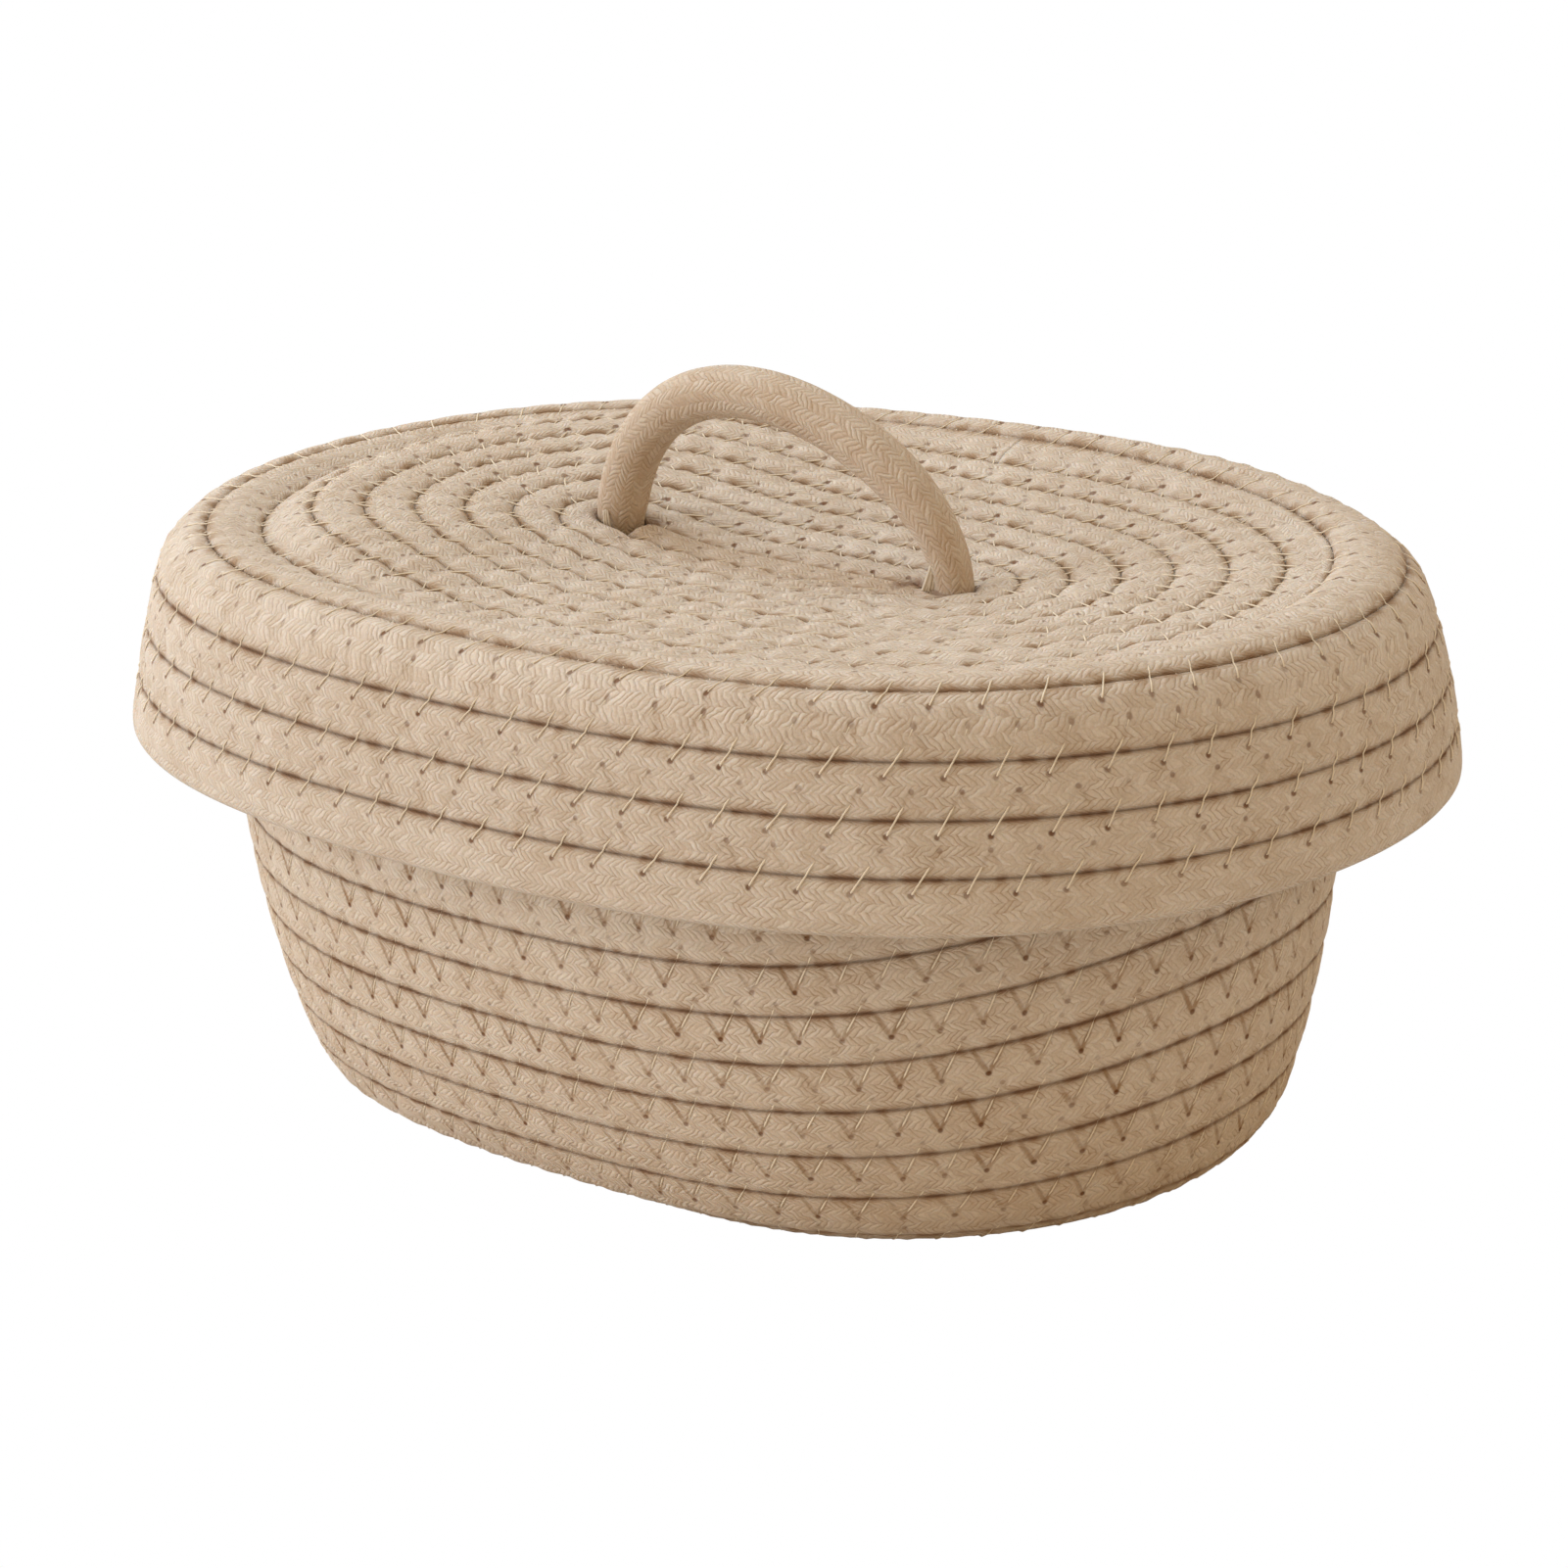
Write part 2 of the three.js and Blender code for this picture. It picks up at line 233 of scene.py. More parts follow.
@dataclass(frozen=True)
class SewnSheet:
    """A rope wound round an oval core and sewn turn to turn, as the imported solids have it."""

    core_half: float
    winding: Winding
    meridian: Meridian
    half_turns: int
    floor: float = -math.inf
    place: Triple = (0.0, 0.0, 0.0)
    saddle: Saddle | None = None
    bulge: Bulge | None = None
    nudges: tuple[Nudge, ...] = ()
    partings: tuple[Triple, ...] = ()
    # Spots of painted shadow: x, y, radius and strength.
    foot_shadows: tuple[tuple[float, float, float, float], ...] = ()
    rim_turn: float = 6.4
    rise: float = -0.02
    stitch: float = 8.4
    shown_leg: int = 1
    shown_place: float = 0.0

    @property
    def first(self) -> float:
        """Plan angle at which the rope starts in the core."""
        return -90 - SIDE_HALF_ANGLE

    @property
    def last(self) -> float:
        """Plan angle at which the rope ends."""
        return 180.0 * self.half_turns - 90 + SIDE_HALF_ANGLE

    def oval(self, angle: Array, reach: Array, height: Array) -> Array:
        """A point of an ellipse where it faces the angle, moved out along that direction.

        Args:
            angle: Plan angles that the oval faces, in degrees.
            reach: Distances from the core.
            height: Heights.

        Returns:
            Points, with x, y and z in the last axis.
        """
        bow = ROUNDNESS * np.maximum(reach, 0.0)
        half_length = self.core_half + bow
        c, s = np.cos(np.radians(angle)), np.sin(np.radians(angle))
        size = np.hypot(half_length * c, bow * s)
        x = half_length**2 * c / size + (reach - bow) * c
        y = bow**2 * s / size + (reach - bow) * s
        return np.stack(np.broadcast_arrays(x, y, height), -1)

    def section(self, angle: Array, share: Array, offset: Array) -> Array:
        """Places share and offset on the meridian at an angle, with the tip thinned to its end.

        Args:
            angle: Plan angles in degrees.
            share: Shares of the way from the inner seam to the outer.
            offset: Distances from the middle of the sheet.

        Returns:
            Points before the sheet is put in its place.
        """
        seam = self.winding.distance(angle / 360)
        inner = np.where(angle > -90 + SIDE_HALF_ANGLE, np.maximum(seam, SMALLEST_TURN), seam)
        outer = self.winding.distance(angle / 360 + 1)
        tip = smooth(angle, self.last - TIP_ANGLE, self.last)
        across = inner + share * (outer - inner) * (1 - TIP_NARROWING * tip)
        reach, height, slope = self.meridian.at(across)
        thick = offset * (1 - TIP_THINNING * tip)
        level = np.maximum(height + thick * np.cos(slope), self.floor)
        return self.oval(angle, reach - thick * np.sin(slope), level)

    def point(self, angle: Array, share: Array, offset: Array) -> Array:
        """A point of the sheet. Along each long side it lies on the straight between two sections.

        Args:
            angle: Plan angles in degrees.
            share: Shares of the way from the inner seam to the outer.
            offset: Distances from the middle of the sheet, up or outward on the lid.

        Returns:
            Points in the row frame, in millimetres.
        """
        angle, share, offset = np.broadcast_arrays(angle, share, offset)
        nearest = np.round((angle - 90) / 180) * 180 + 90
        beside = np.abs(angle - nearest) < SIDE_HALF_ANGLE
        low = np.where(beside, nearest - SIDE_HALF_ANGLE, angle)
        high = np.where(beside, nearest + SIDE_HALF_ANGLE, angle)
        part = np.where(beside, (angle - low) / (2 * SIDE_HALF_ANGLE), 0.0)[..., None]
        start, finish = (self.section(side, share, offset) for side in (low, high))
        points = start + (finish - start) * part
        reach = np.hypot(np.maximum(np.abs(points[..., 0]) - self.core_half, 0), points[..., 1])
        if self.saddle:
            points[..., 2] += self.saddle.lift(angle, points[..., 2], reach)
        if self.bulge:
            points[..., 2] += self.bulge.lift(points, reach)
        for nudge in self.nudges:
            points = nudge.moved(points)
        return self.parted(points) + np.array(self.place)

    def parted(self, points: Array) -> Array:
        """Pushes the turns aside round some places: distance d becomes the cube root of d³ + r³.

        Args:
            points: Points in the sheet's own frame.

        Returns:
            The same points, with room round each place.
        """
        for x, y, room in self.partings:
            away = points[..., :2] - np.array((x, y))
            distance = np.maximum(np.linalg.norm(away, axis=-1, keepdims=True), TINY)
            wider = np.cbrt(distance**3 + room**3)
            moved = np.array((x, y)) + away / distance * wider
            points = np.concatenate([moved, points[..., 2:]], -1)
        return points

    def foot_shadow(self, points: Array) -> Array:
        """Painted shadow on the rope where it turns into a hole round a handle's foot: 1 inside a
        spot's radius, 0 some way off.

        Args:
            points: Points in the row frame, in millimetres.

        Returns:
            The strength of the painted shadow at each point.
        """
        dark = np.zeros(points.shape[:-1])
        outer, inner = FOOT_SHADOW_EDGE
        for x, y, radius, strength in self.foot_shadows:
            away = np.linalg.norm(points[..., :2] - np.array(self.place[:2]) - (x, y), axis=-1)
            dark = np.maximum(dark, strength * smooth(-away, -radius - outer, -radius + inner))
        return dark

    def outside(self, angle: Array, share: Array) -> Array:
        """How far a place lies past the sheet's flat part, from 0 inside to 1 on its sides."""
        return smooth(angle / 360 + share, self.rim_turn - RIM_FADE, self.rim_turn + RIM_FADE)

    def angles(self, first: float, last: float) -> Array:
        """Lists plan angles fine enough to measure lengths with, also where a long side takes few degrees.

        Args:
            first: First angle.
            last: Last angle.

        Returns:
            The angles, with both ends.
        """
        sides = np.arange(-90, last + 181, 180)[:, None]
        fine = (sides + np.linspace(-SIDE_HALF_ANGLE, SIDE_HALF_ANGLE, 121)).ravel()
        every = np.concatenate([np.arange(first, last, 0.5), fine, [first, last]])
        return np.unique(every[(every >= first) & (every <= last)])

    def lengths(self, angle: Array, share: float) -> Array:
        """Length along the rope from the first angle to each of the angles, on a line at that share."""
        steps = np.linalg.norm(np.diff(self.point(angle, share, 0.0), axis=0), axis=-1)
        return np.concatenate([[0.0], np.cumsum(steps)])

    def stitch_count(self) -> tuple[Array, Array]:
        """Counts the stitches along the one long seam, a little unevenly, as a hand guides it.

        The count is the length over the stitch's own, plus two small waves of the length.

        Returns:
            Plan angles of the old turn, and the count reached at each.
        """
        angle = self.angles(self.first, self.last - 360)
        length = self.lengths(angle, 1.0)
        waves = sum(size * np.sin(length * rate + start) for size, rate, start in STITCH_WAVES)
        return angle, length / self.stitch + waves

    def upright(self, angle: Array, share: Array) -> Array:
        """How steep the sheet is at a place, from 0 where it lies flat to 1 where it stands."""
        return np.abs(np.sin(self.meridian.at(self.winding.distance(angle / 360 + share))[2]))

    def core_count(self, angle: Array) -> Array:
        """Stitches along the seam between the core's two straight runs, counted on its second run."""
        return self.core_half * (1 - (angle - 90) / SIDE_HALF_ANGLE) / self.stitch


def zigzag(phase: Array) -> Array:
    """Distance of a phase from the nearest whole stitch, from 0 in an old hole to 0.5 in a new one."""
    return np.abs(phase - np.round(phase))


@dataclass(frozen=True)
class Section:
    """Outline of a sewn rope: a superellipse with its faces crowned by a share of x squared.

    On a superellipse |x| to the power n plus |y| to the power n is 1.
    """

    sides: int = 18
    bunching: float = 0.09
    wall: float = 0.03
    power: float = 3.0
    crowned: float = 0.06
    flat_fill: float = 0.62
    upright_fill: float = 0.88

    def outline(self) -> tuple[Array, Array, Array]:
        """Walks once round the outline, starting at the inner seam.

        Two more points next to each seam keep the rope's sides upright, where turns press together.

        Returns:
            Share across the sheet, offset as a share of half the thickness, and share of the way
            round, of which the last list has one more number because it closes.
        """
        even = np.linspace(0, 2 * np.pi, self.sides + 1) + np.pi
        walls = np.pi * np.array([1, 2, 2, 3]) + self.wall * np.array([1, -1, 1, -1])
        around = np.sort(np.concatenate([even + self.bunching * np.sin(4 * even), walls]))
        x, y = np.cos(around), -np.sin(around)
        x = np.sign(x) * np.abs(x) ** (2 / self.power)
        y = np.sign(y) * np.abs(y) ** (2 / self.power) * (1 - self.crowned * x**2)
        steps = np.hypot(np.diff(x), np.diff(y))
        way = np.concatenate([[0.0], np.cumsum(steps)]) / steps.sum()
        return (1 + 2 * SEAM_PRESS) * (x[:-1] + 1) / 2 - SEAM_PRESS, y[:-1], way

    def filled(self, offset: Array, upright: Array) -> Array:
        """Moves an outline out by a share of what it lacks, more so where the sheet stands upright."""
        fill = self.flat_fill + (self.upright_fill - self.flat_fill) * upright
        return np.sign(offset) * (fill + (1 - fill) * np.abs(offset))

    def crown(self, share: Array, upright: Array) -> Array:
        """Finds the rope's face at a share across, by the formula of its outline.

        Args:
            share: Shares across the sheet.
            upright: How steep the sheet is there, 0 to 1.

        Returns:
            Offsets as shares of half the thickness.
        """
        side = np.clip(np.abs(2 * share - 1), 0, 1)
        face = (1 - side**self.power) ** (1 / self.power) * (1 - self.crowned * side**2)
        return self.filled(face + TINY, upright)


def mesh_object(name: str, points: Array, faces: list, material: Material) -> Object:
    """Puts points in millimetres and faces into a new object that stands at the origin.

    Args:
        name: Name of the object.
        points: Array of points, n by 3.
        faces: Lists of point numbers.
        material: Its only material.

    Returns:
        The linked object, shaded smooth.
    """
    mesh = bpy.data.meshes.new(name)
    mesh.from_pydata((points * MM).tolist(), [], faces)
    mesh.polygons.foreach_set("use_smooth", np.ones(len(mesh.polygons), bool))
    mesh.update()
    mesh.materials.append(material)
    made = bpy.data.objects.new(name, mesh)
    bpy.context.scene.collection.objects.link(made)
    return made


def tubes(name: str, rings: Array, material: Material) -> Object:
    """Closed tubes of equal build: each ring is joined to the next, and the ends are capped.

    Args:
        name: Name of the object.
        rings: Array of tubes by rings by points by 3.
        material: Its only material.

    Returns:
        The linked object.
    """
    count, length, sides, _ = rings.shape
    number = np.arange(count * length * sides).reshape(count, length, sides)
    after = np.roll(number, -1, axis=2)
    quads = np.stack([number[:, :-1], after[:, :-1], after[:, 1:], number[:, 1:]], -1).reshape(-1, 4)
    caps = np.concatenate([number[:, 0, ::-1], number[:, -1]])
    return mesh_object(name, rings.reshape(-1, 3), quads.tolist() + caps.tolist(), material)


def add_braid_map(made: Object, along: Array, way: Array) -> None:
    """Gives one tube a UV map with its length in millimetres along U and its way round, 0 to 1, on V.

    Args:
        made: An object made by tubes from a single tube.
        along: Length at each ring.
        way: Share of the way round at each side, and at the closing one.
    """
    rings, sides = len(along), len(way) - 1
    i, j = np.meshgrid(np.arange(rings - 1), np.arange(sides), indexing="ij")
    corners = [(i, j), (i, j + 1), (i + 1, j + 1), (i + 1, j)]
    quads = np.stack([np.stack([along[a], way[b]], -1) for a, b in corners], 2).reshape(-1, 2)
    first = np.stack([np.full(sides, along[0]), way[:-1][::-1]], -1)
    last = np.stack([np.full(sides, along[-1]), way[:-1]], -1)
    layer = made.data.uv_layers.new(name="braid")
    layer.data.foreach_set("uv", np.concatenate([quads, first, last]).astype(np.float32).ravel())


def add_numbers(made: Object, name: str, values: Array) -> None:
    """Stores one number for each point of a mesh under a name that its material reads."""
    layer = made.data.attributes.new(name, "FLOAT", "POINT")
    layer.data.foreach_set("value", values.astype(np.float32).ravel())


def arithmetic(operation: str) -> Callable[..., "Signal"]:
    """Makes the method behind one sign of arithmetic, which adds a Math node of that operation."""
    return lambda signal, *others: signal.bench.math(operation, signal, *others)


@dataclass(frozen=True)
class Signal:
    """A value that a material works out. Each sum or product with it is one more Math node."""

    bench: "NodeBench"
    socket: bpy.types.NodeSocket

    __add__ = arithmetic("ADD")
    __sub__ = arithmetic("SUBTRACT")
    __mul__ = arithmetic("MULTIPLY")
    __truediv__ = arithmetic("DIVIDE")
    __pow__ = arithmetic("POWER")
    __abs__ = arithmetic("ABSOLUTE")

    def __rsub__(self, number: float) -> "Signal":
        """Takes the signal away from a number."""
        return self.bench.math("SUBTRACT", number, self)


class NodeBench:
    """Places shader nodes in a new material or world and joins them."""

    def __init__(self, owner: Material | bpy.types.World, output: str = "OutputMaterial") -> None:
        """Empties the node tree of its owner, and remembers the kind of node that ends it."""
        owner.use_nodes = True
        owner.node_tree.nodes.clear()
        self.owner, self.output = owner, output

    def node(self, kind: str, values: dict, **settings: object) -> bpy.types.Node:
        """Adds a node.

        Args:
            kind: The node's kind, without the ShaderNode that all kinds start with.
            values: What feeds its inputs, by name or number: signals, numbers or colours.
            settings: Its properties.

        Returns:
            The node.
        """
        tree = self.owner.node_tree
        made = tree.nodes.new("ShaderNode" + kind)
        for key, value in settings.items():
            setattr(made, key, value)
        for key, value in values.items():
            if isinstance(value, Signal):
                tree.links.new(value.socket, made.inputs[key])
            else:
                made.inputs[key].default_value = value
        return made

    def signal(self, kind: str, values: dict, output: int | str = 0, **settings: object) -> Signal:
        """Adds a node in the same way and hands out one of its outputs."""
        return Signal(self, self.node(kind, values, **settings).outputs[output])

    def math(self, operation: str, *values: object) -> Signal:
        """Works out one step of arithmetic, named as the Math node has it, on signals or numbers."""
        return self.signal("Math", dict(enumerate(values)), operation=operation)

    def largest(self, first: Signal, *others: Signal) -> Signal:
        """Finds the largest of some signals."""
        for other in others:
            first = self.math("MAXIMUM", first, other)
        return first

    def distance(self, east: Signal, north: Signal) -> Signal:
        """Takes the square root of the sum of two squares."""
        return self.math("SQRT", east * east + north * north)

    def ramp(self, value: Signal, start: float, finish: float, high: object, low: float = 0.0) -> Signal:
        """Rises smoothly from low at start to high at finish, also where start is over finish."""
        values = dict(enumerate((value, start, finish, low, high)))
        return self.signal("MapRange", values, interpolation_type="SMOOTHSTEP")

    def mix(self, factor: Signal, first: object, second: Triple) -> Signal:
        """Mixes a colour with another one, given on a screen's scale, by a factor."""
        return self.signal("Mix", {0: factor, 6: first, 7: linear(*second)}, 2, data_type="RGBA")

    def named(self, name: str) -> Signal:
        """Reads a number that the mesh keeps for each point."""
        return self.signal("Attribute", {}, "Fac", attribute_name=name)

    def parts(self, vector: Signal) -> list[Signal]:
        """Takes a vector or colour apart into its three numbers."""
        return [Signal(self, socket) for socket in self.node("SeparateXYZ", {0: vector}).outputs]

    def noise(self, scale: float, detail: float = 2.0, output: str = "Fac") -> Signal:
        """Adds a noise of that scale, in waves to the metre, and detail."""
        spot = self.signal("TexCoord", {}, "Object")
        return self.signal("TexNoise", {"Vector": spot, "Scale": scale, "Detail": detail}, output)

    def chance(self, number: Signal) -> Signal:
        """Draws a number from 0 to 1 for each whole number."""
        return self.signal("TexWhiteNoise", {"W": number}, noise_dimensions="1D")

    def show(self, shader: Signal) -> Material | bpy.types.World:
        """Ends the tree with a shader and hands out its owner."""
        self.node(self.output, {0: shader})
        return self.owner

    def show_apart(self, others: Signal, camera: Signal) -> Material | bpy.types.World:
        """Ends the tree with one shader for the camera and another for all other rays."""
        ray = self.signal("LightPath", {}, "Is Camera Ray")
        return self.show(self.signal("MixShader", {0: ray, 1: others, 2: camera}))


@dataclass(frozen=True)
class BraidedCotton:
    """Matt jacket of a braided rope: columns of slanted plaits, stitched or bare."""

    name: str
    stitch: float = 0.0
    # How dark the painted shade in the old and the new needle holes is.
    old_hole_shade: float = 0.6
    new_hole_shade: float = 0.9
    old_groove: float = 0.3
    new_groove: float = 0.15
    shown_side: float = 1.0
    lit: Triple = (216, 204, 191)
    warm: Triple = (190, 172, 153)
    # Painted shade: colour of the creases between plaits, the threads' grooves and the seam valleys.
    crease_shade: Triple = (158, 130, 102)
    # Painted shade: dark brown for needle holes, leg dimples, seam lines and the shadow round the handle's
    # feet.
    hole: Triple = (104, 62, 30)
    columns: int = 18
    plait_pitch: float = 1.25
    slant: float = 1.45
    sway: float = 0.9
    slip: float = 1.1
    jump: float = 0.7
    relief: float = 0.3
    sway_noise: Pair = (420.0, 1.0)
    cloud_noise: Pair = (70.0, 3.0)
    fuzz_noise: Pair = (2600.0, 2.0)
    shade_patch_noise: Pair = (260.0, 1.0)
    shade_patch_range: Pair = (0.4, 0.65)
    crease_shade_range: Pair = (0.4, 0.0)
    groove_width: Pair = (0.6, 0.1)
    hole_width: Pair = (0.65, 0.25)
    tick_shade_width: Pair = (0.55, 0.2)
    seam_width: Pair = (0.085, 0.012)
    valley_width: Pair = (0.21, 0.03)

    def material(self) -> Material:
        """Builds the jacket's material.

        A plait's number along its column is length over pitch, plus or minus its slant times the
        place across the column, so that neighbouring columns make chevrons. Its height is highest
        along its middle and falls to the column's sides. A noise shifts both, as in a soft braid.

        Returns:
            The material.
        """
        bench = NodeBench(bpy.data.materials.new(self.name))
        length, way, _ = bench.parts(bench.signal("UVMap", {}, uv_map="braid"))
        sideways, forward, _ = bench.parts(bench.noise(*self.sway_noise, "Color"))
        column = way * float(self.columns) + (sideways - 0.5) * self.sway
        number = bench.math("FLOOR", column)
        across = column - number - 0.5
        lean = self.slant - bench.math("FLOORED_MODULO", number, 2.0) * (2.0 * self.slant)
        step = length / self.plait_pitch + across * lean
        step = step + forward * self.slip + bench.chance(number) * self.jump
        plait = bench.math("FLOOR", step)
        middle = step - plait - 0.5
        cell = bench.signal("CombineXYZ", {0: number, 1: plait})
        tint = bench.signal("TexWhiteNoise", {0: cell}, noise_dimensions="2D")
        height = (1.0 - middle * middle * 4.0) * (1.0 - (abs(across) * 2.0) ** 3.0 * 0.6)
        height = height * (1.0 - tint * 0.5)

        cloud, fuzz = bench.noise(*self.cloud_noise), bench.noise(*self.fuzz_noise)
        # Patchy noise that varies the strength of the painted shade in creases, grooves and seams.
        shade_patches = bench.ramp(bench.noise(*self.shade_patch_noise), *self.shade_patch_range, 1.0, 0.15)
        shade = tint * 0.5 + cloud * 0.9 + fuzz * 1.1 - 0.8
        colour = bench.mix(shade, linear(*self.lit), self.warm)
        # Painted shade in the creases between plaits, where a plait's height falls.
        colour = bench.mix(bench.ramp(height, *self.crease_shade_range, 0.62) * shade_patches, colour, self.crease_shade)
        if self.stitch:
            groove, dot, seam, valley = self.stitches(bench)
            # Painted shade in the threads' grooves, which the bump below also presses in, and in the soft
            # valley over each seam.
            soft = bench.largest(groove * (shade_patches * 0.6 + 0.5), valley * shade_patches)
            colour = bench.mix(soft, colour, self.crease_shade)
            # Painted shade in the needle holes, the leg dimples and the seam lines, and painted shadow
            # round the handle's feet.
            dark = bench.largest(dot, seam * (shade_patches * 0.6 + 0.55), bench.named("foot_shadow"))
            colour = bench.mix(dark, colour, self.hole)
            height = height - bench.largest(groove * 1.6, dot * 2.0)
        height = height + fuzz * 0.6
        bump = bench.signal("Bump", {"Strength": 0.7, "Distance": self.relief * MM, "Height": height})
        values = {"Base Color": colour, "Roughness": 0.92, "Specular IOR Level": 0.12, "Normal": bump}
        soft = {"Weight": 0.3, "Radius": (1.0, 0.62, 0.36), "Scale": 0.0012}
        values.update({f"Subsurface {key}": value for key, value in soft.items()})
        return bench.show(bench.signal("BsdfPrincipled", values))

    def stitches(self, bench: NodeBench) -> tuple[Signal, ...]:
        """Finds the zigzag of each seam: a leg's place along a stitch grows with its place across.

        Args:
            bench: The material's bench.

        Returns:
            How far a spot lies in a thread's groove, a needle hole, a seam and the soft valley over
            it, each 0 to 1, as masks of painted shade; the groove and the hole also dent the bump.
        """
        share, upright = bench.named("share"), bench.named("upright")
        flat = 1.0 - upright
        steep = upright * 0.8 + 0.2
        # How dark the painted seam shade gets, more where the sheet stands upright.
        depth = upright * 0.5 + 0.12
        found = []
        rows = (
            ("outer_phase", share - 1.0, 0.0, OLD_HOLE, self.old_hole_shade, self.old_groove),
            ("inner_phase", share, 0.5, NEW_HOLE, self.new_hole_shade, self.new_groove),
        )
        for name, across, end, hole, darkness, strength in rows:
            phase = bench.named(name)
            real = bench.math("GREATER_THAN", phase, -0.5)
            stitch = abs(phase - bench.math("ROUND", phase))
            chance = bench.chance(bench.math("FLOOR", phase + (0.5 - end)))
            faint = chance * 0.6 + 0.4
            leg = (across - OLD_HOLE) / (2 * LEG_SPAN)
            apart = abs(stitch - leg) * (self.stitch * LEG_LEAN)
            line = bench.ramp(apart, *self.groove_width, steep * strength * faint)
            groove = line * bench.math("COMPARE", leg, 0.25, 0.25)
            north = (across - hole) * ROPE_THICKNESS
            away = bench.distance((stitch - end) * self.stitch, north)
            # Painted shade in the needle hole.
            dot = bench.ramp(away, *self.hole_width, darkness) * faint
            # Painted shade along the seam line and, wider and softer, over its valley.
            seam = bench.ramp(abs(across), *self.seam_width, depth)
            valley = bench.ramp(abs(across), *self.valley_width, 0.85)
            found.append([part * real for part in (groove, dot, seam, valley)])
        groove, dot, seam, valley = (bench.largest(*pair) for pair in zip(*found))
        tick_shade = self.tick_shade(bench, phase, north) * chance**0.7 * real * flat
        return groove, bench.largest(dot, tick_shade), seam, valley * (flat * 0.35 + 0.65)

    def tick_shade(self, bench: NodeBench, phase: Signal, north: Signal) -> Signal:
        """Paints shade in the dimple at the end of the leg that shows: an ellipse stretched from its
        new hole to the seam.

        Args:
            bench: The material's bench.
            phase: Stitches counted along the inner seam.
            north: Distance across from the new hole in millimetres.

        Returns:
            How much painted shade a spot gets, 0 to 0.9.
        """
        east = (bench.math("FRACT", phase) - 0.5) * (self.stitch * self.shown_side)
        north = north - 0.5
        along = east * 0.5 - north * 0.87
        beside = east * 0.87 + north * 0.5
        stretched = bench.largest(along * 0.26, along * -1.0)
        return bench.ramp(bench.distance(stretched, beside), *self.tick_shade_width, 0.9)


@dataclass(frozen=True)
class SewingThread:
    """Thin twisted cotton thread, a little lighter than the rope."""

    name: str
    colour: Triple = (244, 229, 205)
    twist: float = 900.0
    shadow: float = 0.86

    def material(self) -> Material:
        """Builds the thread's material, with a fine banding for its twist."""
        bench = NodeBench(bpy.data.materials.new(self.name))
        darker = tuple(part * self.shadow for part in self.colour)
        colour = bench.mix(bench.noise(self.twist), linear(*self.colour), darker)
        return bench.show(bench.signal("BsdfPrincipled", {"Base Color": colour, "Roughness": 0.7}))


